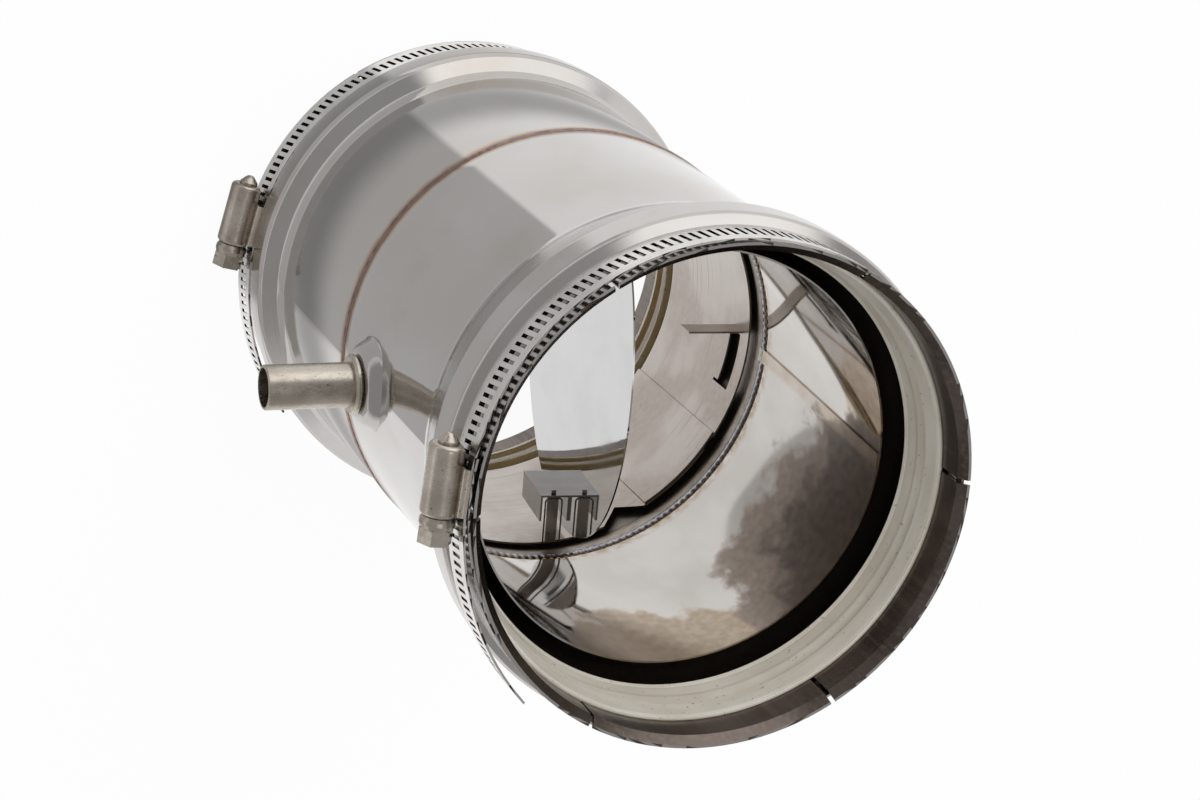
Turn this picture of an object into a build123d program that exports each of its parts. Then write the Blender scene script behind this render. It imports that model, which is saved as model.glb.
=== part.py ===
from build123d import *
import math
import os

# Appliance vent adapter for 5 inch flue pipe, standing on its appliance end.
# The origin is the centre of the bottom rim, +Z runs up the flue to the vent end,
# and +X is the way the condensate drain points. All lengths are in millimetres.

# Sheet body
body_radius = 65.0          # outside of the plain tube
sheet = 0.6                 # thickness of the shell sheet
weld_height = 100.0         # seam between the lower and the upper shell
overall_height = 228.7
lower_flare_run = 6.0       # height of the slope from the lower bead to the tube
upper_flare_run = 20.0      # the upper slope is long and gentle

# Socket at each end, measured from the open rim
collar_step = 1.1           # how far the collar stands out from the plain tube
collar_radius = body_radius + collar_step
socket_radius = collar_radius - sheet
flare_rise = 2.4            # height of the flared mouth
flare_angle = 39.0          # its slope, from the flue's axis
collar_length = 15.4        # from the rim to the slope of the bead
seat_draft = 0.1            # how much the inside opens below the straight socket
bead_rise = 3.9             # height of the slope between the seat and the bead
bead_depth = 4.8            # how far the bead stands out from the collar
bead_radius = collar_radius + bead_depth
bead_length = 9.8           # height of the bead crest
slit_count = 6
slit_width = 1.2
slit_angle = 181.5          # one slit's place round the axis, from +X toward +Y
slit_end_margin = 1.0       # each slit ends this short of the bead's slope
seam_gap = 0.02             # the shells meet edge to edge

# Gaskets
gasket_lip_reach = 2.9      # how far the lip stands in from the plain tube's outside
gasket_lip_radius = body_radius - gasket_lip_reach
gasket_clearance = 0.3
gasket_lip_rise = 2.5       # lip above the inner end of the bead
gasket_cover = 3.1          # how far the gasket lies along the collar
gasket_top_depth = collar_length - gasket_cover
socket_depth = gasket_top_depth - gasket_clearance

# Drip liner, a cone inside the upper shell
liner_sheet = 0.5
liner_taper = 7.3
liner_top_radius = body_radius - liner_taper
liner_top_depth = 32.3      # from the vent rim to the cone's narrow end
liner_top_height = overall_height - liner_top_depth
liner_clearance = 0.3
liner_seam_width = 4.0
liner_seam_angle = 177.0
liner_nick_angle = 184.5    # small nick in the narrow edge
liner_nick_size = 1.6

# Condensate drain
drain_rise = 26.0           # drain's axis above the mid weld
drain_height = weld_height + drain_rise
nipple_radius = 6.25
nipple_wall = 0.8
nipple_length = 29.7        # how far the open end stands out from the tube
nipple_tip = body_radius + nipple_length
nipple_ring_radius = 8.4
nipple_ring_length = 2.1
nipple_edge = 0.7           # rounding of the rolled ring
boss_base_radius = 12.0
boss_top_radius = 9.0
boss_rise = 3.5
weld_clearance = 0.1

# Damper sleeve, a lapped strip sprung against the lower shell
sleeve_sheet = 0.6
sleeve_slack = 1.1          # how much smaller it is than the shell, in radius
sleeve_rub = 0.3            # gap left on the side where it bears on the shell
sleeve_bear_angle = -36.0
sleeve_top_gap = 6.6        # sleeve's near edge below the mid weld
sleeve_top = weld_height - sleeve_top_gap
sleeve_length = 62.0
lap_angle = 123.5           # the inner end of the strip
lap_span = 22.0
lap_gap = 0.15
lap_break = 4.0             # bare angle between the strip's outer end and its joggle
joggle_span = 1.2
notch_angle = 116.2         # corner notch beside the lap
notch_depth = 8.4
notch_half_width = 7.6

# Stop tab, cut out of the sleeve and bent inward
stop_angle = 178.6
stop_length = 17.0
stop_width = 7.5
stop_rest_gap = 0.3
stop_relief = 3.0           # extra cut below the window at the tab's free end
stop_relief_span = 0.8

# Damper blade and its pivots
blade_margin = 6.0
blade_radius = body_radius - blade_margin
blade_sheet = 0.5
blade_open_angle = 95.5     # from closed to the open rest
pivot_offset = 4.4          # pivot line to the middle of the flue
blade_offset = 5.0          # pivot line to the blade
post_width = 3.4
post_depth = 16.8           # shoulder of the post, in from the tube's outside
post_reach = body_radius - post_depth
tongue_width = 1.4
tongue_length = 2.2
tongue_clearance = 0.08
angle_sheet = 0.6
angle_length = 22.0
angle_margin = 1.5          # shelf past the pivot hole
angle_leg = 8.0
angle_rise = 3.5            # outer flange above the pivot line
angle_clearance = 0.3

# Hairpin spring that straddles the lower post
wire_radius = 0.25
hairpin_half_width = 2.6
hairpin_clearance = 0.3
hairpin_bend = 1.2

# Worm-drive clamps
band_sheet = 0.6
band_width = 12.4
band_clearance = 1.6        # the clamps hang loose round the collars
band_rest_gap = 0.5         # left above the slope that a clamp rests on
band_layer_gap = 0.15
band_climb_run = 74.0       # length over which the band climbs on to its own start
tail_run = 72.0
tail_spread = 10.3          # the tail is bent to a wider circle than the collar
tail_radius = collar_radius + tail_spread
tail_plain = 4.0            # unslotted tip of the tail
upper_clamp_angle = -4.6
lower_clamp_angle = -12.6
slot_pitch = 2.5
slot_width = 1.1
slot_length = 5.9
slot_lean = 9.0
slotted_run = 330.0
housing_length = 19.0
housing_sheet = 0.7
housing_gap = 0.1
tunnel_edge = 1.3
saddle_length = 12.6
saddle_shift = 1.6          # toward the screw's head
saddle_edge = 1.4
saddle_headroom = 1.4
saddle_foot_gap = 0.4
worm_radius = 3.9
worm_clearance = 0.35
worm_length = 15.6
neck_radius = 2.7
neck_clearance = 0.08
nub_length = 2.8
flange_radius = 4.7
flange_length = 3.2
hex_flats = 7.94
hex_length = 4.0
drive_slot_width = 1.4
drive_slot_depth = 1.9


def ring(points, start=0, span=360):
    """Turn a closed outline of (radius, height) points round the Z axis, from an angle."""
    outline = Polyline(*[(r, 0, z) for r, z in points], close=True)
    return Rot(0, 0, start) * revolve(make_face(outline), Axis.Z, span)


def mirror_height(height, upper):
    """Height of a point given by its depth below the rim of the chosen end."""
    return overall_height - height if upper else height


def bead_depths():
    """Where the bead's crest starts and ends, as depths below the rim."""
    bead_start = collar_length + bead_rise
    return bead_start, bead_start + bead_length


def rim_radii():
    """Inner and outer radius of the flared mouth at the rim."""
    slope = math.radians(flare_angle)
    inner = socket_radius + flare_rise * math.tan(slope)
    return inner, inner + sheet / math.cos(slope)


def shell(upper):
    """One half of the sheet body, from the mid weld to its turned-out rim."""
    bead_start, bead_end = bead_depths()
    rim_inner, rim_outer = rim_radii()
    slope_end = bead_end + (upper_flare_run if upper else lower_flare_run)
    seam = overall_height - weld_height - seam_gap if upper else weld_height
    flare_end = flare_rise + sheet * math.tan(math.radians(flare_angle) / 2)
    outer = [
        (body_radius, seam), (body_radius, slope_end), (bead_radius, bead_end),
        (bead_radius, bead_start), (collar_radius, collar_length), (collar_radius, flare_end),
        (rim_outer, 0),
    ]
    socket = [(rim_inner, 0), (socket_radius, flare_rise), (socket_radius, socket_depth),
              (socket_radius + seat_draft, collar_length)]
    inner = socket[3:] + [(r - sheet, d) for r, d in reversed(outer[:4])]
    soft = 14.0 if upper else 5.0
    outer_path = FilletPolyline(*section(outer[:6], upper), radius=[soft, 3.0, 2.2, 2.0])
    socket_path = Polyline(*section(socket, upper))
    inner_path = FilletPolyline(*section(inner, upper), radius=[1.6, 2.4, soft])
    rim = Vector(*section(outer[6:], upper)[0])
    ends = [Line(outer_path @ 1, rim), Line(rim, socket_path @ 0), Line(inner_path @ 1, outer_path @ 0)]
    body = revolve(make_face([outer_path, socket_path, inner_path] + ends), Axis.Z, 360)
    return body - collar_slits(upper)


def section(points, upper):
    """Place outline points, given as (radius, depth below the rim), on the XZ plane."""
    return [(r, 0, mirror_height(d, upper)) for r, d in points]


def collar_slits(upper):
    """Narrow cuts through the rim and the collar, so that the clamp can squeeze it."""
    depth = collar_length - slit_end_margin
    cut = Box(8, slit_width, depth + 2)
    middle = mirror_height(depth / 2 - 1, upper)
    cuts = []
    for i in range(slit_count):
        place = Rot(0, 0, slit_angle + i * 360 / slit_count) * Pos(collar_radius + 1, 0, middle)
        cuts.append(place * cut)
    return cuts


def upper_shell():
    """The vent half, with the collar for the drain pulled out of its side."""
    root = body_radius - 7
    top = body_radius + boss_rise
    base = boss_base_radius + 1.2
    rise = Spline((root + 6.2, base), (body_radius + 0.8, boss_base_radius), (top - 1.1, 11.0),
                  (top, boss_top_radius), tangents=[(0.7, -1), (0, -1)])
    sides = Polyline((top, boss_top_radius), (top, 0), (root, 0), (root, base), (root + 6.2, base))
    boss = drain_turning(make_face([rise, sides]))
    inside = Pos(0, 0, drain_height) * Cylinder(body_radius - sheet / 2, 4 * boss_base_radius)
    bore = Pos(body_radius, 0, drain_height) * Rot(0, 90, 0)
    bore = bore * Cylinder(nipple_radius + weld_clearance, 20)
    return shell(True) + (boss - inside) - bore


def drain_turning(outline):
    """Turn a flat outline of (distance from the flue axis, radius) round the drain's axis."""
    side = Pos(0, 0, drain_height) * Rot(90, 0, 0) * outline
    return revolve(side, Axis((0, 0, drain_height), (1, 0, 0)), 360)


def drain_nipple():
    """Thin open tube with a rolled ring where it is welded to the pulled collar."""
    start = body_radius - sheet
    ring_start = body_radius + boss_rise + weld_clearance
    ring_end = ring_start + nipple_ring_length
    bore = nipple_radius - nipple_wall
    edge = nipple_edge
    outline = Polyline((start, bore), (start, nipple_radius), (ring_start, nipple_radius),
                       (ring_start, nipple_ring_radius - edge),
                       (ring_start + edge, nipple_ring_radius),
                       (ring_end - edge, nipple_ring_radius),
                       (ring_end, nipple_ring_radius - edge), (ring_end, nipple_radius),
                       (nipple_tip - 0.3, nipple_radius), (nipple_tip, nipple_radius - 0.3),
                       (nipple_tip, bore), close=True)
    return drain_turning(make_face(outline))


def gasket(upper):
    """Soft ring held in the bead, with a lip that slopes in to meet the flue pipe."""
    bead_start, bead_end = bead_depths()
    gap = gasket_clearance
    back = bead_radius - sheet - gap
    collar = socket_radius - gap
    lip = bead_end - gasket_lip_rise
    top = gasket_top_depth
    points = [
        (collar, top), (collar, collar_length - 0.4), (back, bead_start + 0.9), (back, bead_end - 0.8),
        (back - 0.8, bead_end), (gasket_lip_radius + 1.5, lip + 1.8),
        (gasket_lip_radius + 0.3, lip + 1.4), (gasket_lip_radius, lip),
    ]
    return ring([(r, mirror_height(d, upper)) for r, d in points])


def drip_liner():
    """Open cone, wide at the mid weld, with its lapped seam standing a sheet proud inside."""
    foot = body_radius - sheet - liner_clearance
    start = weld_height + seam_gap
    wall = [(foot, start), (liner_top_radius, liner_top_height)]
    cone = ring(wall + [(r - liner_sheet, z) for r, z in reversed(wall)])
    seam = ring([(r - liner_sheet + 0.05, z) for r, z in wall]
                + [(r - 2 * liner_sheet, z) for r, z in reversed(wall)])
    middle = (start + liner_top_height) / 2
    strip = Pos(foot, 0, middle) * Box(4 * liner_taper, liner_seam_width, liner_top_height - start + 2)
    size = liner_nick_size
    nick = Pos(liner_top_radius, 0, liner_top_height) * Box(4 * liner_sheet, size, size)
    return cone - Rot(0, 0, liner_nick_angle) * nick + (seam & Rot(0, 0, liner_seam_angle) * strip)


def strip_turn(low, high, start, span):
    """Part of a turn of the sleeve's strip, at its full length along the flue."""
    bottom = sleeve_top - sleeve_length
    return ring([(low, bottom), (high, bottom), (high, sleeve_top), (low, sleeve_top)], start, span)


def sleeve_radius():
    """Outside radius of the sleeve's outer turn, and the gap that it leaves to the shell."""
    return body_radius - sheet - sleeve_slack


def sleeve_shift():
    """The sleeve bears on one side of the shell, so it stands off centre."""
    shift = sleeve_slack - sleeve_rub
    a = math.radians(sleeve_bear_angle)
    return Pos(shift * math.cos(a), shift * math.sin(a), 0)


def pivot_height():
    """The pivot line lies in the posts, which are bent in from the sleeve's top edge."""
    return sleeve_top - sleeve_sheet / 2


def closed_height():
    """Middle of the blade when it lies flat across the flue."""
    return pivot_height() - blade_offset


def damper_sleeve():
    """Lapped strip with the window of the stop tab, the tab itself and both pivot posts."""
    outside = sleeve_radius()
    inside = outside - sleeve_sheet
    low = inside - lap_gap - sleeve_sheet
    joggle_angle = lap_angle + lap_span + lap_break
    turn = strip_turn(inside, outside, joggle_angle, 360 - lap_break)
    lap = strip_turn(low, inside - lap_gap, lap_angle, lap_span + lap_break + joggle_span)
    joggle = strip_turn(low, outside, joggle_angle, joggle_span)
    strip = sleeve_shift() * (turn + lap + joggle) - stop_window() - lap_notch()
    return strip + stop_tab() + pivot_post(1) + pivot_post(-1)


def lap_notch():
    """Three-sided notch in the sleeve's near edge beside the lap."""
    a = math.radians(notch_angle)
    plane = Plane(origin=(0, 0, 0), x_dir=(-math.sin(a), math.cos(a), 0),
                  z_dir=(math.cos(a), math.sin(a), 0))
    high = sleeve_top + 1
    corners = Polyline((-notch_half_width, high), (0, sleeve_top - notch_depth),
                       (notch_half_width, high), close=True)
    return extrude(plane * make_face(corners), amount=body_radius)


def stop_edges():
    """Bottom and top edge of the stop tab: the closed blade lies just above its top."""
    top = closed_height() - blade_sheet / 2 - stop_rest_gap
    return top - stop_width, top


def stop_window():
    """Hole that the tab leaves in the sleeve, with the relief cut at its free end."""
    bottom, top = stop_edges()
    span = math.degrees(stop_length / sleeve_radius())
    low = sleeve_radius() - 4
    high = body_radius + 1
    hole = ring([(low, bottom), (high, bottom), (high, top), (low, top)], stop_angle - span, span)
    relief = ring([(low, bottom - stop_relief), (high, bottom - stop_relief), (high, top), (low, top)],
                  stop_angle - span - stop_relief_span, stop_relief_span)
    return hole + relief


def stop_tab():
    """Tab bent inward along the side of its window; the closed blade rests on its top edge."""
    bottom, top = stop_edges()
    root = sleeve_radius() - sleeve_sheet / 2
    blank = Box(stop_length, sleeve_sheet, stop_width)
    place = Rot(0, 0, stop_angle) * Pos(root - stop_length / 2, sleeve_sheet / 2, (bottom + top) / 2)
    return sleeve_shift() * place * blank


def pivot_post(side):
    """Strip bent in from the sleeve's top edge, ending in a tongue that carries the blade."""
    reach = sleeve_radius()
    length = reach - post_reach
    post = Box(post_width, length, sleeve_sheet)
    post = Pos(-pivot_offset, side * (post_reach + length / 2), pivot_height()) * post
    tongue = Box(tongue_width, tongue_length + 1, sleeve_sheet)
    tongue_middle = side * (post_reach - tongue_length / 2 + 0.5)
    tongue = Pos(-pivot_offset, tongue_middle, pivot_height()) * tongue
    wall = Pos(0, 0, pivot_height()) * Cylinder(reach - sleeve_sheet / 2, 4)
    return (post & (sleeve_shift() * wall)) + tongue


def opened(solid):
    """Turn a piece of the closed blade about the pivot line to its open rest."""
    pivot = Pos(-pivot_offset, 0, pivot_height())
    return pivot * Rot(0, blade_open_angle, 0) * pivot.inverse() * solid


def damper_blade():
    """Flat disc, centred on the flue when it is closed."""
    return opened(Pos(0, 0, closed_height()) * Cylinder(blade_radius, blade_sheet))


def pivot_angle(side):
    """Channel on the blade: its web has the hole for the post's tongue, its flange faces out."""
    face = closed_height() + blade_sheet / 2
    web_outer = post_reach - angle_clearance
    web_top = pivot_height() + angle_rise
    start = -pivot_offset - angle_margin
    middle_x = start + angle_length / 2
    web = Box(angle_length, angle_sheet, web_top - face)
    web = Pos(middle_x, side * (web_outer - angle_sheet / 2), (web_top + face) / 2) * web
    leg = Box(angle_length, angle_leg, angle_sheet)
    leg_middle = side * (web_outer - angle_sheet + angle_leg / 2)
    foot = Pos(middle_x, leg_middle, face + angle_sheet / 2) * leg
    flange = Pos(middle_x, leg_middle, web_top + angle_sheet / 2) * leg
    hole_radius = math.hypot(tongue_width, sleeve_sheet) / 2 + tongue_clearance
    hole = Pos(-pivot_offset, side * web_outer, pivot_height()) * Rot(90, 0, 0)
    return opened(web + foot + flange - hole * Cylinder(hole_radius, 8 * angle_sheet))


def hairpin_spring():
    """Wire bent round the lower post, its feet over the sleeve's top edge."""
    height = sleeve_top + hairpin_clearance + wire_radius
    top = post_reach - angle_clearance + hairpin_clearance + wire_radius
    foot = sleeve_radius() - sleeve_sheet - wire_radius
    half = hairpin_half_width
    path = FilletPolyline((-pivot_offset - half, foot, height), (-pivot_offset - half, top, height),
                          (-pivot_offset + half, top, height), (-pivot_offset + half, foot, height),
                          radius=hairpin_bend)
    start = Plane(origin=path @ 0, z_dir=path % 0)
    return sweep(start * Circle(wire_radius), path=path)


def worm_distance():
    """Distance of the worm's axis from the flue's axis, just clear of the band's two layers."""
    layers = 2 * band_sheet + band_layer_gap + band_climb_slope() * housing_length / 2
    return collar_radius + band_clearance + layers + worm_clearance + worm_radius


def band_climb_slope():
    """How steeply the band leaves its own start when it climbs over it."""
    return 2 * (band_sheet + band_layer_gap) / band_climb_run


def band_arcs(offset):
    """The band's line at an offset from its middle: round the collar, over its start, tail."""
    first = collar_radius + band_clearance + band_sheet / 2
    lift = band_sheet + band_layer_gap
    climb = 1 / (1 / first - 2 * lift / band_climb_run ** 2)
    start_angle = -math.degrees((housing_length / 2 - 2) / first)
    around = 360 - math.degrees(band_climb_run / first)
    climb_turn = math.degrees(band_climb_run / climb)
    tail_turn = math.degrees(tail_run / tail_radius)
    a = math.radians(start_angle)
    begin = (first + offset) * Vector(math.cos(a), math.sin(a), 0)
    arc_1 = JernArc(begin, Vector(-math.sin(a), math.cos(a), 0), first + offset, around)
    arc_2 = JernArc(arc_1 @ 1, arc_1 % 1, climb + offset, climb_turn)
    arc_3 = JernArc(arc_2 @ 1, arc_2 % 1, tail_radius + offset, tail_turn)
    return [arc_1, arc_2, arc_3]


def clamp_place(upper):
    """Where a clamp lies: the upper one on the bead's slope, the lower one on the flared mouth."""
    if upper:
        slope = collar_length + bead_rise * band_clearance / bead_depth
        depth = slope - band_rest_gap - band_width / 2
        return Pos(0, 0, mirror_height(depth, True)) * Rot(0, 0, upper_clamp_angle)
    overlap = rim_radii()[1] - collar_radius - band_clearance
    slope = overlap / math.tan(math.radians(flare_angle))
    return Pos(0, 0, slope + band_rest_gap + band_width / 2) * Rot(0, 0, lower_clamp_angle)


def clamp_band(upper):
    """Slotted strip that starts under the housing, goes round and leaves as a free tail."""
    outer = band_arcs(band_sheet / 2)
    inner = band_arcs(-band_sheet / 2)
    ends = [Line(inner[0] @ 0, outer[0] @ 0), Line(inner[2] @ 1, outer[2] @ 1)]
    strip = extrude(make_face(outer + inner + ends), amount=band_width / 2, both=True)
    strip = clamp_place(upper) * (strip - band_slots())
    return strip


def band_slots():
    """Leaning slots for the worm, from the tail's tip back along the strip."""
    line = Wire(band_arcs(0))
    slot = Rot(slot_lean, 0, 0) * Box(6 * band_sheet, slot_width, slot_length)
    slots = []
    count = int(slotted_run / slot_pitch)
    for i in range(count):
        share = 1 - (tail_plain + i * slot_pitch) / line.length
        point = line @ share
        along = line % share
        turn = math.degrees(math.atan2(along.Y, along.X)) - 90
        slots.append(Pos(point.X, point.Y, 0) * Rot(0, 0, turn) * slot)
    return slots


def tunnel(radius, length, edge):
    """Round bar along the worm's axis, with softened ends."""
    bar = Cylinder(radius, length)
    return Pos(worm_distance(), 0, 0) * Rot(90, 0, 0) * fillet(bar.edges().filter_by(GeomType.CIRCLE), edge)


def saddle(top, half_width, length, edge):
    """Block across the band, with its two outer long edges rounded."""
    foot = collar_radius + band_clearance + band_sheet + saddle_foot_gap
    block = Pos((foot + top) / 2, saddle_shift, 0) * Box(top - foot, length, 2 * half_width)
    return fillet(block.edges().filter_by(Axis.Y).sort_by(Axis.X)[-2:], edge)


def clamp_housing(upper):
    """Pressed cover: a tunnel that traps the worm, and a saddle that grips the band's edges."""
    half_width = band_width / 2 + housing_gap
    hollow = worm_radius + worm_clearance
    shoulder = collar_radius + band_clearance + 3 * band_sheet + saddle_headroom
    outer = tunnel(hollow + housing_sheet, housing_length, tunnel_edge)
    outer = outer + saddle(shoulder, half_width + housing_sheet, saddle_length, saddle_edge)
    core = tunnel(hollow, housing_length - 2 * housing_sheet, tunnel_edge - housing_sheet)
    inside = saddle(shoulder - housing_sheet, half_width, saddle_length + 1, saddle_edge - housing_sheet)
    passage_top = shoulder - housing_sheet + 0.3
    passage = Pos(passage_top - 10, 0, 0) * Box(20, housing_length + 1, 2 * (hollow - housing_sheet))
    bore = Pos(worm_distance(), 0, 0) * Rot(90, 0, 0)
    bore = bore * Cylinder(neck_radius + neck_clearance, housing_length + 1)
    return clamp_place(upper) * (outer - core - inside - passage - bore)


def clamp_screw(upper):
    """Worm with a pointed end, a collar against the housing and a slotted hexagon head."""
    wall = housing_length / 2
    worm_end = worm_length / 2
    flange_start = wall + housing_gap
    flange_end = flange_start + flange_length
    taper = 0.6
    outline = [(0, -wall - nub_length), (0.8, -wall - nub_length + 0.15),
               (1.4, -wall - nub_length + 0.6), (neck_radius, -wall - 0.7),
               (neck_radius, -worm_end), (worm_radius, -worm_end + taper),
               (worm_radius, worm_end - taper), (neck_radius, worm_end),
               (neck_radius, flange_start), (flange_radius - taper, flange_start),
               (flange_radius - 0.1, flange_start + 0.9), (flange_radius, flange_end - 1.3),
               (flange_radius - 0.4, flange_end), (0, flange_end)]
    centre = worm_distance()
    shape = make_face(Polyline(*[(centre + r, y, 0) for r, y in outline], close=True))
    screw = revolve(shape, Axis((centre, 0, 0), (0, 1, 0)), 360)
    head_plane = Plane(origin=(centre, flange_end, 0), x_dir=(1, 0, 0), z_dir=(0, 1, 0))
    corner = hex_flats / 2 / math.cos(math.radians(30))
    head = extrude(head_plane * RegularPolygon(corner, 6), amount=hex_length)
    slot = Pos(centre, flange_end + hex_length, 0) * Rot(0, 35, 0)
    head = head - slot * Box(3 * corner, 2 * drive_slot_depth, drive_slot_width)
    return clamp_place(upper) * (screw + head)


def main():
    """Write one file for each piece."""
    pieces = {
        "upper_shell": upper_shell(),
        "lower_shell": shell(False),
        "drip_liner": drip_liner(),
        "drain_nipple": drain_nipple(),
        "upper_gasket": gasket(True),
        "lower_gasket": gasket(False),
        "damper_sleeve": damper_sleeve(),
        "damper_blade": damper_blade(),
        "lower_pivot_angle": pivot_angle(1),
        "upper_pivot_angle": pivot_angle(-1),
        "hairpin_spring": hairpin_spring(),
    }
    for name, upper in (("upper", True), ("lower", False)):
        pieces[name + "_clamp_band"] = clamp_band(upper)
        pieces[name + "_clamp_housing"] = clamp_housing(upper)
        pieces[name + "_clamp_screw"] = clamp_screw(upper)
    os.makedirs("parts", exist_ok=True)
    for name, solid in pieces.items():
        export_step(solid, "parts/" + name + ".step")
        print(name, round(solid.volume, 1))


main()
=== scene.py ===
import math
import bmesh
import bpy
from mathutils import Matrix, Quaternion, Vector


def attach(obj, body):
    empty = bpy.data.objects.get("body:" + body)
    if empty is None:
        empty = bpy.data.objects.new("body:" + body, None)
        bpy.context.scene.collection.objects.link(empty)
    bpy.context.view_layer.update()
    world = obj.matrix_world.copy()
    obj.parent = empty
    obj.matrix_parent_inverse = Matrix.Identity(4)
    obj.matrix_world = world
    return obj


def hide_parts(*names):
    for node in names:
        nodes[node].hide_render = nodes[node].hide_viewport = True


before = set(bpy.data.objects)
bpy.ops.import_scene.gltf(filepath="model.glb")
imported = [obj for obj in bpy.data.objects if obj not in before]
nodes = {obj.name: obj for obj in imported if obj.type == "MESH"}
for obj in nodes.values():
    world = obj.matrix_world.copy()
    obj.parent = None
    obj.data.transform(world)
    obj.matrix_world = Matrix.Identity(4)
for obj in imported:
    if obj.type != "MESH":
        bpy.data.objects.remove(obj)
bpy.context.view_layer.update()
mm = 0.001


# Small helpers

def hexColor(code):
    # sRGB hex to the linear values that the shaders take
    out = []
    for i in (0, 2, 4):
        c = int(code[i:i + 2], 16) / 255
        out.append(c / 12.92 if c <= 0.04045 else ((c + 0.055) / 1.055) ** 2.4)
    return (*out, 1.0)


def feed(tree, node, inputs):
    # each input is a number, a hex colour, a socket or another node's first live output
    for socket, value in inputs.items():
        if isinstance(value, str):
            value = hexColor(value)
        if isinstance(value, bpy.types.Node):
            value = next(out for out in value.outputs if out.enabled)
        if isinstance(value, bpy.types.NodeSocket):
            tree.links.new(value, node.inputs[socket])
        else:
            node.inputs[socket].default_value = value


def addNode(tree, kind, inputs, **settings):
    node = tree.nodes.new("ShaderNode" + kind)
    for name, value in settings.items():
        setattr(node, name, value)
    feed(tree, node, inputs)
    return node


def startMaterial(name):
    material = bpy.data.materials.new(name)
    material.use_nodes = True
    return material, material.node_tree, material.node_tree.nodes["Principled BSDF"]


def speckle(tree, spacing, low, high, detail=3.0):
    # 0 to 1 noise whose grain is given in millimetres along X, Y and Z, with its contrast
    place = addNode(tree, "TexCoord", {}).outputs["Object"]
    scale = [1 / (s * mm) for s in spacing]
    mapped = addNode(tree, "Mapping", {"Vector": place, "Scale": scale})
    noise = addNode(tree, "TexNoise", {"Vector": mapped, "Scale": 1.0, "Detail": detail})
    return addNode(tree, "MapRange", {"Value": noise, "From Min": low, "From Max": high},
                   interpolation_type="SMOOTHSTEP")


def flueCoordinate(tree, which, facing=0):
    # radius or height in millimetres, or the angle in degrees on from the way it faces
    turned = addNode(tree, "Mapping", {"Vector": addNode(tree, "TexCoord", {}).outputs["Object"],
                                       "Rotation": (0, 0, -math.radians(facing))})
    x, y, z = addNode(tree, "SeparateXYZ", {0: turned}).outputs
    if which == "height":
        return addNode(tree, "Math", {0: z, 1: 1 / mm}, operation="MULTIPLY")
    if which == "angle":
        turn = addNode(tree, "Math", {0: y, 1: x}, operation="ARCTAN2")
        return addNode(tree, "Math", {0: turn}, operation="DEGREES")
    flat = addNode(tree, "CombineXYZ", {0: x, 1: y})
    length = addNode(tree, "VectorMath", {0: flat}, operation="LENGTH").outputs["Value"]
    return addNode(tree, "Math", {0: length, 1: 1 / mm}, operation="MULTIPLY")


def patch(tree, across, along, size, edge, noise, ragged):
    # 1 inside a rounded patch, 0 outside: place and half size across and along, and how far
    # noise eats into its soft edge
    u = addNode(tree, "Math", {0: across, 1: size[0]}, operation="SUBTRACT")
    u = addNode(tree, "Math", {0: u, 1: size[1]}, operation="DIVIDE")
    v = addNode(tree, "Math", {0: along, 1: size[2]}, operation="SUBTRACT")
    v = addNode(tree, "Math", {0: v, 1: size[3]}, operation="DIVIDE")
    off = addNode(tree, "CombineXYZ", {0: u, 1: v})
    reach = addNode(tree, "VectorMath", {0: off}, operation="LENGTH").outputs["Value"]
    reach = addNode(tree, "Math", {0: noise, 1: ragged, 2: reach}, operation="MULTIPLY_ADD")
    return addNode(tree, "MapRange", {"Value": reach, "From Min": 1 + ragged / 2 - edge,
                                      "From Max": 1 + ragged / 2 + edge, "To Min": 1.0,
                                      "To Max": 0.0}, interpolation_type="SMOOTHSTEP")


def between(tree, value, low, high, edge):
    # 1 between two values, 0 outside, with a soft edge
    middle, half = (low + high) / 2, (high - low) / 2
    away = addNode(tree, "Math", {0: value, 1: middle}, operation="SUBTRACT")
    away = addNode(tree, "Math", {0: away}, operation="ABSOLUTE")
    return addNode(tree, "MapRange", {"Value": away, "From Min": half - edge, "From Max": half + edge,
                                      "To Min": 1.0, "To Max": 0.0}, interpolation_type="SMOOTHSTEP")


def facingIn(tree):
    # 1 on faces that look back at the flue's axis
    geometry = addNode(tree, "NewGeometry", {}).outputs
    flat = addNode(tree, "VectorMath", {0: geometry["Position"], 1: (1, 1, 0)}, operation="MULTIPLY")
    facing = addNode(tree, "VectorMath", {0: geometry["Normal"], 1: flat}, operation="DOT_PRODUCT")
    return addNode(tree, "Math", {0: facing.outputs["Value"], 1: 0.0}, operation="LESS_THAN")


def tinted(tree, base, layers):
    # lays each (share, colour) over the one below
    for share, color in layers:
        base = addNode(tree, "Mix", {0: share, 6: base, 7: color}, data_type="RGBA")
    return base


def lathe(name, outline, steps=256):
    # turns a closed outline of (radius, height) points, in millimetres, round the flue's axis
    mesh = bpy.data.meshes.new(name)
    shape = bmesh.new()
    rings = []
    for i in range(steps):
        a = 2 * math.pi * i / steps
        rings.append([shape.verts.new((r * mm * math.cos(a), r * mm * math.sin(a), h * mm))
                      for r, h in outline])
    for i in range(steps):
        here, there = rings[i], rings[(i + 1) % steps]
        for k in range(len(outline)):
            n = (k + 1) % len(outline)
            shape.faces.new((here[k], there[k], there[n], here[n]))
    bmesh.ops.recalc_face_normals(shape, faces=shape.faces)
    shape.to_mesh(mesh)
    shape.free()
    mesh.polygons.foreach_set("use_smooth", [True] * len(mesh.polygons))
    mesh.set_sharp_from_angle(angle=math.radians(40))
    piece = bpy.data.objects.new(name, mesh)
    bpy.context.scene.collection.objects.link(piece)
    return piece


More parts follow.
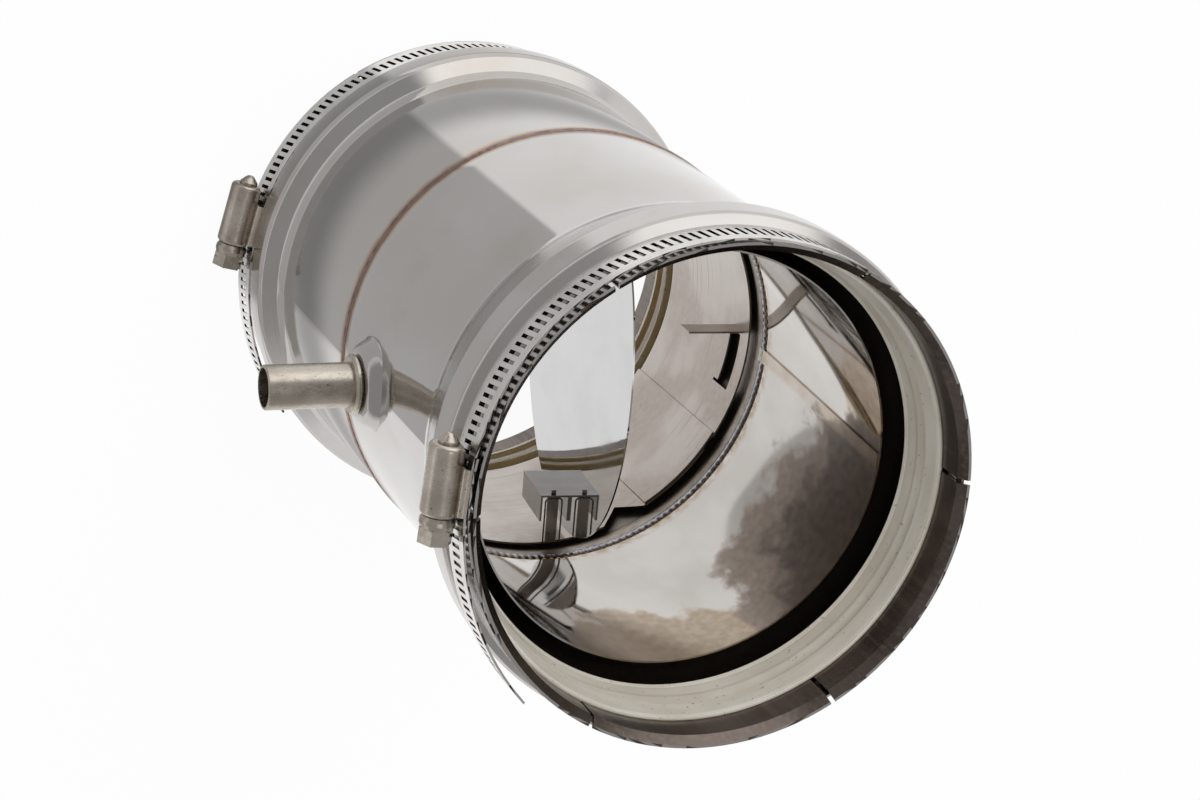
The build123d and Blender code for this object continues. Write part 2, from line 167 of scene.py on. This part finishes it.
def roundedOutline(points, radii, share=5):
    # replaces each corner of a closed outline by a short arc of its radius
    out = []
    count = len(points)
    for i, (x, y) in enumerate(points):
        before, after = Vector(points[i - 1]), Vector(points[(i + 1) % count])
        corner = Vector((x, y))
        a, b = (before - corner).normalized(), (after - corner).normalized()
        half = a.angle(b) / 2
        reach = radii[i] / math.tan(half) if radii[i] else 0
        reach = min(reach, 0.48 * (before - corner).length, 0.48 * (after - corner).length)
        if reach < 1e-4:
            out.append((x, y))
            continue
        radius = reach * math.tan(half)
        centre = corner + (a + b).normalized() * (radius / math.sin(half))
        first, second = corner + a * reach - centre, corner + b * reach - centre
        for k in range(share + 1):
            t = k / share
            turned = first.slerp(second, t) if first.angle(second) > 1e-3 else first.lerp(second, t)
            out.append(tuple(centre + turned))
    return out


def place(piece, body, material, slotName):
    piece.data.materials.append(material)
    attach(piece, body)


def dress(node, material):
    piece = nodes[node]
    piece.data.materials.clear()
    piece.data.materials.append(material)


# Camera: over the vent end, looking down the flue at a slant, with the drain to the left

cameraSet = {
    "place": (320.75, -274.91, 939.96),     # mm in the part's frame
    "aim": (2.02, 2.32, 139.88),
    "roll": 132.4,                          # degrees about the line of sight
    "lens": 97.75,                          # mm
    "sensor": 36.0,                         # mm
    "clip": (0.01, 50.0),                   # m
}


def addCamera():
    data = bpy.data.cameras.new("camera")
    data.lens = cameraSet["lens"]
    data.sensor_width = cameraSet["sensor"]
    data.clip_start, data.clip_end = cameraSet["clip"]
    camera = bpy.data.objects.new("camera", data)
    bpy.context.scene.collection.objects.link(camera)
    eye, aim = Vector(cameraSet["place"]) * mm, Vector(cameraSet["aim"]) * mm
    camera.rotation_mode = "QUATERNION"
    camera.location = eye
    look = (aim - eye).to_track_quat("-Z", "Y")
    camera.rotation_quaternion = look @ Quaternion((0, 0, 1), math.radians(cameraSet["roll"]))
    bpy.context.scene.camera = camera


# Stage: white floor and world, what the metal mirrors of the studio, one soft lamp

stageSet = {
    "floorSize": 6.0,               # m
    "floorHeight": -0.6,            # mm, just under the rim
    "floorGlow": 0.95,              # share of plain white, the rest takes the light
    "ambient": 0.75,                # the world's light on the object
    "wallSize": 2.6,                # m: radius of the dome of studio walls
    "wallTone": 0.38,               # dim walls, as the metal mirrors them
    "panelSoftness": (5.0, 3.0),    # degrees: fading edges of the light panels, side and top
    "horizonTone": 0.75,            # the white sweep under them
    "horizon": (4.0, 13.0),         # degrees: it fades out between these elevations
    "cardTone": 0.55,               # grey card on the floor, on the camera's side
    "cardSize": 2.4,                # m
    "cardHeight": -0.3,             # mm
    "cardEdges": ((31.2, -57.0, -81.6), (64.9, 3.2, 46.6)),     # each one's X, Y (mm) and way (degrees)
    "cardSoftness": 2.0,            # mm
    "footShade": (78.0, 92.0),      # mm from the axis: a ring of the body's own shade
    "footSoftness": 6.0,            # mm
    "footTone": 0.50,
    "lampWay": (-112, 48),          # degrees: azimuth and elevation
    "lampReach": 1.7,               # m from the body's middle
    "lampAim": 0.11,                # m above the floor
    "lampSize": 0.9,                # m
    "lampPower": 9.0,               # W
}
softboxes = {
    # azimuth, half width, elevation, half height (degrees), tone
    "window": (-112, 30, 22, 20, 1.5),
    "fill": (112, 26, 20, 16, 0.45),
    "overhead": (0, 400, 90, 13, 1.3),
}


def backgroundShare(tree):
    # 1 for what the camera, metal and glass see directly
    path = addNode(tree, "LightPath", {}).outputs
    seen = addNode(tree, "Math", {0: path["Is Camera Ray"], 1: path["Is Glossy Ray"]},
                   operation="ADD", use_clamp=True)
    return addNode(tree, "Math", {0: seen, 1: path["Is Transmission Ray"]}, operation="ADD",
                   use_clamp=True)


def addWorld():
    world = bpy.data.worlds.new("studio")
    bpy.context.scene.world = world
    world.use_nodes = True
    tree = world.node_tree
    tree.nodes.clear()
    ambient = addNode(tree, "Background", {"Color": "FFFFFF", "Strength": stageSet["ambient"]})
    white = addNode(tree, "Background", {"Color": "FFFFFF", "Strength": 1.0})
    mix = addNode(tree, "MixShader", {0: backgroundShare(tree), 1: ambient, 2: white})
    addNode(tree, "OutputWorld", {"Surface": mix})


def stagePiece(name, mesh, material, forCamera):
    mesh.materials.append(material)
    piece = bpy.data.objects.new(name, mesh)
    bpy.context.scene.collection.objects.link(piece)
    if not forCamera:
        # seen by the metal alone: it neither lights nor shades the object
        piece.visible_camera = piece.visible_diffuse = piece.visible_shadow = False
        piece.visible_transmission = piece.visible_volume_scatter = False


def sheetMesh(name, half, height):
    mesh = bpy.data.meshes.new(name)
    corners = [(-half, -half, height), (half, -half, height), (half, half, height), (-half, half, height)]
    mesh.from_pydata(corners, [], [(0, 1, 2, 3)])
    return mesh


def domeMesh(name, radius, turns=48, rows=16):
    mesh = bpy.data.meshes.new(name)
    shape = bmesh.new()
    rings = []
    for k in range(rows):
        e = math.pi / 2 * k / rows
        rings.append([shape.verts.new((radius * math.cos(e) * math.cos(2 * math.pi * i / turns),
                                       radius * math.cos(e) * math.sin(2 * math.pi * i / turns),
                                       radius * math.sin(e))) for i in range(turns)])
    top = shape.verts.new((0, 0, radius))
    for k in range(rows - 1):
        for i in range(turns):
            n = (i + 1) % turns
            shape.faces.new((rings[k][i], rings[k][n], rings[k + 1][n], rings[k + 1][i]))
    for i in range(turns):
        shape.faces.new((rings[-1][i], rings[-1][(i + 1) % turns], top))
    shape.to_mesh(mesh)
    shape.free()
    return mesh


def addFloor():
    white, tree, shader = startMaterial("whiteFloor")
    feed(tree, shader, {"Base Color": "F2F2F2", "Roughness": 0.9})
    glow = addNode(tree, "Emission", {"Color": "FFFFFF", "Strength": 1.0})
    share = addNode(tree, "Math", {0: backgroundShare(tree), 1: stageSet["floorGlow"]},
                    operation="MULTIPLY")
    mix = addNode(tree, "MixShader", {0: share, 1: shader, 2: glow})
    feed(tree, tree.nodes["Material Output"], {"Surface": mix})
    sheet = sheetMesh("floor", stageSet["floorSize"] / 2, stageSet["floorHeight"] * mm)
    stagePiece("floor", sheet, white, True)


def addFloorCard():
    # what the tube mirrors of the floor: white, a grey card, and the shade at its own foot
    material, tree, shader = startMaterial("floorCard")
    tree.nodes.remove(shader)
    x, y = addNode(tree, "SeparateXYZ", {0: addNode(tree, "TexCoord", {}).outputs["Object"]}).outputs[:2]
    soft = stageSet["cardSoftness"]
    inside = 1.0
    for side, (startX, startY, way) in zip((1, -1), stageSet["cardEdges"]):
        a = math.radians(way)
        across = (-math.sin(a) * side / mm, math.cos(a) * side / mm)
        offset = -(startX * across[0] + startY * across[1]) * mm
        reach = addNode(tree, "Math", {0: x, 1: across[0], 2: offset}, operation="MULTIPLY_ADD")
        reach = addNode(tree, "Math", {0: y, 1: across[1], 2: reach}, operation="MULTIPLY_ADD")
        edge = addNode(tree, "MapRange", {"Value": reach, "From Min": -soft, "From Max": soft})
        inside = addNode(tree, "Math", {0: inside, 1: edge}, operation="MULTIPLY")
    card = addNode(tree, "MapRange", {"Value": inside, "To Min": 1.0, "To Max": stageSet["cardTone"]})
    foot = between(tree, flueCoordinate(tree, "radius"), *stageSet["footShade"],
                   stageSet["footSoftness"])
    foot = addNode(tree, "MapRange", {"Value": foot, "To Min": 1.0, "To Max": stageSet["footTone"]})
    tone = addNode(tree, "Math", {0: card, 1: foot}, operation="MULTIPLY")
    glow = addNode(tree, "Emission", {"Color": "FFFFFF", "Strength": tone})
    feed(tree, tree.nodes["Material Output"], {"Surface": glow})
    sheet = sheetMesh("floorCard", stageSet["cardSize"] / 2, stageSet["cardHeight"] * mm)
    stagePiece("floorCard", sheet, material, False)


def addWalls():
    # dome of dim walls with a white sweep below and soft light panels
    material, tree, shader = startMaterial("studioWalls")
    tree.nodes.remove(shader)
    rise = addNode(tree, "Math", {0: flueCoordinate(tree, "height"), 1: flueCoordinate(tree, "radius")},
                   operation="ARCTAN2")
    rise = addNode(tree, "Math", {0: rise}, operation="DEGREES")
    low, high = stageSet["horizon"]
    side, top = stageSet["panelSoftness"]
    tone = addNode(tree, "MapRange", {"Value": rise, "From Min": low, "From Max": high,
                                      "To Min": stageSet["horizonTone"], "To Max": stageSet["wallTone"]},
                   interpolation_type="SMOOTHSTEP")
    for azimuth, width, elevation, depth, light in softboxes.values():
        turned = flueCoordinate(tree, "angle", azimuth)
        panel = addNode(tree, "Math", {0: between(tree, turned, -width, width, side),
                                       1: between(tree, rise, elevation - depth, elevation + depth, top)},
                        operation="MULTIPLY")
        tone = addNode(tree, "Mix", {0: panel, 2: tone, 3: light}, data_type="FLOAT")
    glow = addNode(tree, "Emission", {"Color": "FFFFFF", "Strength": tone})
    feed(tree, tree.nodes["Material Output"], {"Surface": glow})
    stagePiece("studioWalls", domeMesh("studioWalls", stageSet["wallSize"]), material, False)


def addLamp():
    data = bpy.data.lights.new("softLamp", "AREA")
    data.size = stageSet["lampSize"]
    data.energy = stageSet["lampPower"]
    lamp = bpy.data.objects.new("softLamp", data)
    bpy.context.scene.collection.objects.link(lamp)
    turn, rise = (math.radians(v) for v in stageSet["lampWay"])
    way = Vector((math.cos(rise) * math.cos(turn), math.cos(rise) * math.sin(turn), math.sin(rise)))
    lamp.location = way * stageSet["lampReach"] + Vector((0, 0, stageSet["lampAim"]))
    lamp.rotation_mode = "QUATERNION"
    lamp.rotation_quaternion = (-way).to_track_quat("-Z", "Y")
    lamp.visible_glossy = False


# Body: 304 stainless sheet, bright rolled, its ends spun: soft mirror with satin shoulders

bodySet = {
    "weldHeight": 100.0,                # mm
    # the sheet eases in to the weld and out to the spun ends: heights from and to, rise in mm
    "eased": ((107.0, 100.6, -0.30), (176.0, 181.0, 0.14), (39.0, 35.5, 0.10)),
    "satinLow": (28.0, 36.0),           # mm: the spun ends start here
    "satinHigh": (178.0, 188.0),
    "rolledGrain": (30.0, 30.0, 0.5),   # mm: fine lines round the tube, drawn coarse to show
    "scratchGrain": (1.2, 1.2, 26.0),   # mm: where pipe ends have been pushed in
    "cleanInside": (30.0, 190.0),       # mm: brown only toward the sockets; between these heights the wall is painted pale, as painted light caught through the sleeve's window
    "boss": (64.0, 0.0, 126.0),         # mm: where the drain leaves the tube
    "bossReach": (12.0, 16.0),          # mm: the tarnish fades between these distances
    "clean": ("BEBAB6", "C6C3C1"),
    "film": "BCB5AE",
    "straw": (3.4, 1.2, "B9AA99"),      # beside the weld: half width and edge (mm), colour
    "bronze": (2.3, 0.5, "AC8862"),
    "tarnish": "BDBAB7",
    "smoke": ("6C625C", "544B46"),
    "scratched": "756B64",
    # pale wall behind the liner: painted light, as if lit through the sleeve's window
    "behindLiner": "B0A8A0",
    "rough": {"tube": 0.045, "lowEnd": 0.13, "highEnd": 0.12, "smear": 0.03, "boss": 0.17,
              "socket": 0.24, "behindLiner": 0.5},
}


def shellSteel():
    # bright satin stainless: soft-edged mirror outside, smoke-browned and scratched inside, with the wall
    # behind the liner painted pale as painted light
    material, tree, shader = startMaterial("shellStainless")
    height = flueCoordinate(tree, "height")
    cloud = speckle(tree, (45, 45, 60), 0.35, 0.65, 2.0)
    base = addNode(tree, "Mix", {0: cloud, 6: bodySet["clean"][0], 7: bodySet["clean"][1]},
                   data_type="RGBA")
    film = speckle(tree, (22, 22, 40), 0.45, 0.8, 3.0)
    base = tinted(tree, base, ((film, bodySet["film"]),))
    # heat colours beside the weld, 1 mm uneven: straw, then bronze next to the run
    away = addNode(tree, "Math", {0: height, 1: bodySet["weldHeight"]}, operation="SUBTRACT")
    wobble = speckle(tree, (5, 5, 60), 0.2, 0.8, 2.0)
    away = addNode(tree, "Math", {0: wobble, 1: 1.0, 2: away}, operation="MULTIPLY_ADD")
    away = addNode(tree, "Math", {0: away, 1: 0.5}, operation="SUBTRACT")
    for half, edge, color in (bodySet["straw"], bodySet["bronze"]):
        base = tinted(tree, base, ((between(tree, away, -half, half, edge), color),))
    # round the drain the metal is tarnished
    off = addNode(tree, "VectorMath", {0: addNode(tree, "TexCoord", {}).outputs["Object"],
                                       1: [v * mm for v in bodySet["boss"]]}, operation="DISTANCE")
    start, end = (v * mm for v in bodySet["bossReach"])
    near = addNode(tree, "MapRange", {"Value": off.outputs["Value"], "From Min": start, "From Max": end,
                                      "To Min": 1.0, "To Max": 0.0})
    base = tinted(tree, base, ((near, bodySet["tarnish"]),))
    inside = facingIn(tree)
    smoke = speckle(tree, (16, 16, 22), 0.35, 0.7, 3.0)
    brown = addNode(tree, "Mix", {0: smoke, 6: bodySet["smoke"][0], 7: bodySet["smoke"][1]},
                    data_type="RGBA")
    scratch = speckle(tree, bodySet["scratchGrain"], 0.4, 0.8, 3.0)
    # painted light: the middle of the inside is pale, as if lit through the sleeve's window
    middle = between(tree, height, *bodySet["cleanInside"], 6.0)
    brown = tinted(tree, brown, ((scratch, bodySet["scratched"]), (middle, bodySet["behindLiner"])))
    base = tinted(tree, base, ((inside, brown),))
    # the tube is the brightest, the spun ends are duller, and the insides duller still
    rough = bodySet["rough"]
    low = addNode(tree, "MapRange", {"Value": height, "From Min": bodySet["satinLow"][0],
                                     "From Max": bodySet["satinLow"][1], "To Min": rough["lowEnd"],
                                     "To Max": rough["tube"]})
    high = addNode(tree, "MapRange", {"Value": height, "From Min": bodySet["satinHigh"][0],
                                      "From Max": bodySet["satinHigh"][1], "To Min": 0.0,
                                      "To Max": rough["highEnd"]})
    smear = speckle(tree, (14, 14, 24), 0.3, 0.75, 3.0)
    outer = addNode(tree, "Math", {0: smear, 1: rough["smear"], 2: low}, operation="MULTIPLY_ADD")
    outer = addNode(tree, "Math", {0: outer, 1: high}, operation="ADD")
    outer = addNode(tree, "Mix", {0: near, 2: outer, 3: rough["boss"]}, data_type="FLOAT")
    inner = addNode(tree, "MapRange", {"Value": middle, "To Min": rough["socket"],
                                       "To Max": rough["behindLiner"]})
    dullness = addNode(tree, "Mix", {0: inside, 2: outer, 3: inner}, data_type="FLOAT")
    # relief: fine rolling lines, and the easing toward the weld and the ends
    lines = speckle(tree, bodySet["rolledGrain"], 0.3, 0.7, 2.0)
    fine = addNode(tree, "Bump", {"Height": lines, "Strength": 0.5, "Distance": 0.003 * mm})
    ease = 0.0
    for start, end, rise in bodySet["eased"]:
        share = addNode(tree, "MapRange", {"Value": height, "From Min": start, "From Max": end})
        curve = addNode(tree, "Math", {0: share, 1: 2.0}, operation="POWER")
        before = addNode(tree, "Math", {0: share, 1: 0.999}, operation="LESS_THAN")
        curve = addNode(tree, "Math", {0: curve, 1: before}, operation="MULTIPLY")
        ease = addNode(tree, "Math", {0: curve, 1: rise, 2: ease}, operation="MULTIPLY_ADD")
    bent = addNode(tree, "Bump", {"Height": ease, "Strength": 1.0, "Distance": mm, "Normal": fine})
    feed(tree, shader, {"Base Color": base, "Metallic": 1.0, "Roughness": dullness, "Normal": bent})
    return material


# Weld runs: laid bead, rippled, blue along its middle and straw to bronze at its edges

weldSets = {
    # middle (mm), half width of the blue (mm), two middle colours, edge colour, ripple (mm)
    "outerWeld": (100.0, 0.85, "5C566E", "877C8A", "A8805E", 0.02),
    "innerWeld": (102.6, 1.2, "8C93A0", "B4B4B8", "A08468", 0.09),
}
weldSections = {
    # radius and height above the seam, in mm
    "liner_foot_seat": [(64.5, -6.2), (64.25, -6.1), (63.75, -4.2), (63.35, -1.6), (63.3, 1.0),
                        (64.5, 1.0)],
    "mid_weld_run": [(64.8, -1.3), (65.03, -1.2), (65.2, -0.7), (65.3, 0.0), (65.2, 0.7),
                     (65.03, 1.2), (64.8, 1.3)],
    "liner_weld_run": [(63.7, 0.9), (63.2, 1.0), (62.95, 1.7), (62.85, 2.6), (62.95, 3.5),
                       (63.15, 4.2), (63.6, 4.3)],
}
weldFinish = {
    "rippleTurn": 2.0,          # degrees from ripple to ripple, twice the real pitch so that it shows
    "blueEdge": 0.22,           # mm
    "rough": 0.26,
    "seat": ("BDB3A8", "A3978B"),
    "seatRough": 0.42,
}


def weldBead(name):
    # stainless weld bead: its ripples break the highlight into a row of short glints
    centre, half, cold, warm, edge, rise = weldSets[name]
    material, tree, shader = startMaterial(name)
    away = addNode(tree, "Math", {0: flueCoordinate(tree, "height"), 1: centre}, operation="SUBTRACT")
    hue = speckle(tree, (4, 4, 20), 0.3, 0.7, 2.0)
    middle = addNode(tree, "Mix", {0: hue, 6: cold, 7: warm}, data_type="RGBA")
    blue = between(tree, away, -half, half, weldFinish["blueEdge"])
    base = addNode(tree, "Mix", {0: blue, 6: edge, 7: middle}, data_type="RGBA")
    ripple = addNode(tree, "Math", {0: flueCoordinate(tree, "angle", 139),
                                    1: 2 * math.pi / weldFinish["rippleTurn"]}, operation="MULTIPLY")
    ripple = addNode(tree, "Math", {0: ripple}, operation="SINE")
    bump = addNode(tree, "Bump", {"Height": ripple, "Strength": 1.0, "Distance": rise * mm})
    feed(tree, shader, {"Base Color": base, "Metallic": 1.0, "Roughness": weldFinish["rough"],
                        "Normal": bump})
    return material


def seatSteel():
    # formed edge under the liner: matt stainless, straw coloured by the weld's heat
    material, tree, shader = startMaterial("seatStainless")
    mottle = speckle(tree, (2.5, 2.5, 1.5), 0.3, 0.7, 4.0)
    light, dark = weldFinish["seat"]
    base = addNode(tree, "Mix", {0: mottle, 6: light, 7: dark}, data_type="RGBA")
    bump = addNode(tree, "Bump", {"Height": mottle, "Strength": 0.4, "Distance": 0.03 * mm})
    feed(tree, shader, {"Base Color": base, "Metallic": 1.0, "Roughness": weldFinish["seatRough"],
                        "Normal": bump})
    return material


def addWelds():
    finishes = {
        "liner_foot_seat": (seatSteel(), "liner_steel"),
        "mid_weld_run": (weldBead("outerWeld"), "shell_steel"),
        "liner_weld_run": (weldBead("innerWeld"), "liner_steel"),
    }
    for name, (material, slotName) in finishes.items():
        outline = [(r, bodySet["weldHeight"] + h) for r, h in weldSections[name]]
        place(lathe(name, outline), "shell", material, slotName)


# Drip liner: thin bright stainless cone, browned by flue smoke on the side away from the drain, with tan
# patches that are part stain and part painted reflection of the brown sleeve

linerSet = {
    # angle, half width (degrees), height, half height (mm)
    "smokeCore": (154, 25, 194, 36),
    "smokeHalo": (151, 32, 194, 58),
    # tan patches: part stain, part painted reflection of the brown sleeve
    "tanPatchAndReflection": (94, 28, 198, 42),
    "tanRightAndReflection": (191, 15, 200, 30),
    "seam": (175.4, 179.2, 0.9),            # degrees: from, to and soft edge
    "foot": (92.0, 107.5, 2.5),             # mm: heat tan beside the weld, the same way
    "ragged": (9, 9, 16),                   # mm: grain of the patches' edges
    "mottle": (2.5, 2.5, 3.5),              # mm: soot specks, drawn coarse to show
    "clean": ("C3BFBA", "B8B3AD"),
    "tan": ("BAAA96", "A7957F"),
    "halo": ("94867A", "85776C"),
    "core": ("6A5C51", "55483F"),
    "seamColor": "A8947E",
    "footColor": "9A8672",
    "rough": (0.06, 0.24),                  # clean, stained
# clean, and where the stains and painted reflections lie
}


def linerSteel():
    # bright cold rolled stainless: a mirror where it is clean, dull brown where smoke has settled; the
    # tan patches also hold a painted reflection of the sleeve
    material, tree, shader = startMaterial("linerStainless")
    height = flueCoordinate(tree, "height")
    angle = addNode(tree, "Math", {0: flueCoordinate(tree, "angle", 139), 1: 139.0}, operation="ADD")
    ragged = speckle(tree, linerSet["ragged"], 0.2, 0.8, 5.0)
    mottle = speckle(tree, linerSet["mottle"], 0.3, 0.7, 4.0)
    cloud = speckle(tree, (20, 20, 40), 0.35, 0.65)
    tones = {}
    for name, grain in (("clean", cloud), ("tan", mottle), ("halo", mottle), ("core", mottle)):
        light, dark = linerSet[name]
        tones[name] = addNode(tree, "Mix", {0: grain, 6: light, 7: dark}, data_type="RGBA")
    # the tan patches carry a painted reflection of the sleeve as well as stain
    tan = patch(tree, angle, height, linerSet["tanPatchAndReflection"], 0.10, ragged, 0.5)
    tanRightAndReflection = patch(tree, angle, height, linerSet["tanRightAndReflection"], 0.12, ragged, 0.6)
    halo = patch(tree, angle, height, linerSet["smokeHalo"], 0.09, ragged, 0.4)
    core = patch(tree, angle, height, linerSet["smokeCore"], 0.20, ragged, 0.6)
    seam = addNode(tree, "Math", {0: between(tree, angle, *linerSet["seam"]), 1: ragged},
                   operation="MULTIPLY")
    foot = addNode(tree, "Math", {0: between(tree, height, *linerSet["foot"]), 1: mottle},
                   operation="MULTIPLY")
    base = tinted(tree, tones["clean"], ((tan, tones["tan"]), (tanRightAndReflection, tones["tan"]),
                                         (halo, tones["halo"]), (core, tones["core"]),
                                         (seam, linerSet["seamColor"]), (foot, linerSet["footColor"])))
    # roughness rises over the stains and the painted reflections alike
    stainAndReflection = addNode(tree, "Math", {0: tan, 1: halo}, operation="MAXIMUM")
    rough = addNode(tree, "MapRange", {"Value": stainAndReflection, "To Min": linerSet["rough"][0],
                                       "To Max": linerSet["rough"][1]})
    dents = speckle(tree, (35, 35, 50), 0.3, 0.7, 1.0)
    bump = addNode(tree, "Bump", {"Height": dents, "Strength": 0.5, "Distance": 0.25 * mm})
    feed(tree, shader, {"Base Color": base, "Metallic": 1.0, "Roughness": rough, "Normal": bump})
    return material


# Damper: a sprung sleeve of dulled strip, and a bright blade

sleeveSet = {
    "mottle": (2.2, 2.2, 1.6),      # mm
    "patches": (30, 30, 26),        # mm
    "scores": (40, 40, 0.5),        # mm: lines round the sleeve, drawn coarse to show
    "clean": ("A59B93", "9C928A"),
    "pale": "B3ABA4",
    "scored": "8F857D",
    "rough": (0.20, 0.27),
}
bladeSet = {
    "haze": (18, 18, 30),           # mm
    "clean": ("C4C3C3", "BCBBBB"),
    "rough": (0.03, 0.09),
}


def sleeveSteel():
    # cold rolled stainless strip, dulled and speckled by flue gas, scored round by handling
    material, tree, shader = startMaterial("sleeveStainless")
    mottle = speckle(tree, sleeveSet["mottle"], 0.2, 0.85, 3.0)
    pale = speckle(tree, sleeveSet["patches"], 0.42, 0.62, 2.0)
    score = speckle(tree, sleeveSet["scores"], 0.66, 0.74, 1.0)
    base = addNode(tree, "Mix", {0: mottle, 6: sleeveSet["clean"][0], 7: sleeveSet["clean"][1]},
                   data_type="RGBA")
    base = tinted(tree, base, ((pale, sleeveSet["pale"]), (score, sleeveSet["scored"])))
    rough = addNode(tree, "MapRange", {"Value": mottle, "To Min": sleeveSet["rough"][0],
                                       "To Max": sleeveSet["rough"][1]})
    bump = addNode(tree, "Bump", {"Height": score, "Strength": 0.4, "Distance": 0.02 * mm})
    feed(tree, shader, {"Base Color": base, "Metallic": 1.0, "Roughness": rough, "Normal": bump})
    return material


def bladeSteel():
    # bright annealed stainless: a clean mirror, hazed in places by the flue gas
    material, tree, shader = startMaterial("bladeStainless")
    haze = speckle(tree, bladeSet["haze"], 0.4, 0.75, 3.0)
    base = addNode(tree, "Mix", {0: haze, 6: bladeSet["clean"][0], 7: bladeSet["clean"][1]},
                   data_type="RGBA")
    rough = addNode(tree, "MapRange", {"Value": haze, "To Min": bladeSet["rough"][0],
                                       "To Max": bladeSet["rough"][1]})
    bump = addNode(tree, "Bump", {"Height": haze, "Strength": 0.3, "Distance": 0.03 * mm})
    feed(tree, shader, {"Base Color": base, "Metallic": 1.0, "Roughness": rough, "Normal": bump})
    return material


# Small hardware: drain, pivots, clamps and spring, each by its own finish

steelSets = {
    # light, dark, fleck colour, roughness, grain (mm along X, Y, Z), relief (mm)
    "nippleBrushed": ("C3BBB0", "B1A89C", "978E83", 0.30, (1.6, 0.8, 0.8), 0.010),
    "pivotStainless": ("918E8B", "85817E", "746F6B", 0.12, (6, 6, 6), 0.010),
    "bandStainless": ("E0DEDB", "D2CFCB", "BDB8B2", 0.22, (14, 14, 0.4), 0.004),
    "housingNickel": ("CEC5BA", "BAB0A4", "8F867B", 0.27, (1.2, 1.2, 1.2), 0.012),
    "screwNickel": ("C4BBB0", "ACA398", "867D72", 0.27, (1.0, 1.0, 1.0), 0.012),
    "springWire": ("8A8682", "6E6A66", "55514E", 0.28, (1.5, 1.5, 1.5), 0.004),
}
bandPaintedShade = "4E4641"        # painted shade: the side against the collar is painted dark for the shade in the gap between band and collar


def worked(name):
    # plated or drawn metal: a fine grain that shows as a soft, slightly broken highlight
    light, dark, fleck, roughness, grain, relief = steelSets[name]
    material, tree, shader = startMaterial(name)
    lines = speckle(tree, grain, 0.3, 0.7, 3.0)
    cloud = speckle(tree, (7, 7, 7), 0.35, 0.68, 3.0)
    spots = speckle(tree, (0.9, 0.9, 0.9), 0.64, 0.74, 2.0)
    base = addNode(tree, "Mix", {0: cloud, 6: light, 7: dark}, data_type="RGBA")
    base = tinted(tree, base, ((spots, fleck),))
    if name == "bandStainless":
        # painted shade: faces looking back at the axis, in the gap against the collar, are painted dark
        base = tinted(tree, base, ((facingIn(tree), bandPaintedShade),))
    rough = addNode(tree, "MapRange", {"Value": lines, "To Min": roughness * 0.8,
                                       "To Max": roughness * 1.3})
    bump = addNode(tree, "Bump", {"Height": lines, "Strength": 0.6, "Distance": relief * mm})
    feed(tree, shader, {"Base Color": base, "Metallic": 1.0, "Roughness": rough, "Normal": bump})
    return material


# Gaskets: moulded silicone rubber rings with a stepped lip, the same at both ends

gasketSet = {
    # radius, depth below the rim and rounding of each corner of the section, in mm
    "section": [
        (65.2, 12.3, 0.3), (64.7, 12.8, 0.5), (64.25, 16.9, 2.2), (63.4, 18.5, 2.0),
        (63.3, 21.3, 1.4), (62.7, 22.9, 1.4), (62.1, 25.7, 1.2), (62.3, 26.9, 0.4),
        (63.6, 28.3, 0.6), (70.0, 28.1, 0.5), (70.0, 20.4, 0.5), (65.2, 14.9, 0.4),
    ],
    "rims": {"upper": (228.7, -1), "lower": (0.0, 1)},      # mm, and the way down into the tube
    "dust": "A99F8A",
    "rough": 0.17,
    "lightReach": (0.005, 0.004, 0.0025),       # m: how far red, green and blue light gets in
}
siliconeSets = {
    # light, dark, share that light passes through
    "ivorySilicone": ("E4DED2", "D6CEC0", 0.15),
    # amber, lifted close to white as painted light for the light the far gasket gets through the open end
    "amberSiliconePaintedBright": ("FFEAC0", "F8DA9C", 0.10),
}


def silicone(name):
    # moulded silicone: milky, lightly see-through at its edges, with a soft sheen
    light, dark, glowThrough = siliconeSets[name]
    material, tree, shader = startMaterial(name)
    cloud = speckle(tree, (20, 20, 5), 0.3, 0.7, 2.0)
    dust = speckle(tree, (1.2, 1.2, 1.2), 0.66, 0.76, 2.0)
    base = addNode(tree, "Mix", {0: cloud, 6: light, 7: dark}, data_type="RGBA")
    base = tinted(tree, base, ((dust, gasketSet["dust"]),))
    bump = addNode(tree, "Bump", {"Height": cloud, "Strength": 0.4, "Distance": 0.06 * mm})
    feed(tree, shader, {"Base Color": base, "Roughness": gasketSet["rough"], "Normal": bump,
                        "Subsurface Weight": glowThrough, "Subsurface Scale": 1.0,
                        "Subsurface Radius": gasketSet["lightReach"]})
    return material


def addGasket(end, material):
    rim, way = gasketSet["rims"][end]
    points = [(r, rim + way * depth) for r, depth, rounding in gasketSet["section"]]
    piece = lathe(end + "_lip_gasket", roundedOutline(points, [c[2] for c in gasketSet["section"]]))
    place(piece, "shell", material, end + "_gasket_rubber")
    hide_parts(end + "_gasket")


addCamera()
addWorld()
addFloor()
addFloorCard()
addWalls()
addLamp()
print("camera and stage")

steel = shellSteel()
dress("upper_shell", steel)
dress("lower_shell", steel)
addWelds()
dress("drip_liner", linerSteel())
dress("drain_nipple", worked("nippleBrushed"))
print("body")

dress("damper_sleeve", sleeveSteel())
blade = bladeSteel()
dress("damper_blade", blade)
pivot = worked("pivotStainless")
for name in ("lower_pivot_angle", "upper_pivot_angle"):
    dress(name, pivot)
dress("hairpin_spring", worked("springWire"))
print("damper")

addGasket("upper", silicone("ivorySilicone"))
addGasket("lower", silicone("amberSiliconePaintedBright"))
print("gaskets")

band, housing, screw = worked("bandStainless"), worked("housingNickel"), worked("screwNickel")
for end in ("upper", "lower"):
    dress(end + "_clamp_band", band)
    dress(end + "_clamp_housing", housing)
    dress(end + "_clamp_screw", screw)
print("clamps")

bpy.context.scene.view_settings.view_transform = "Standard"
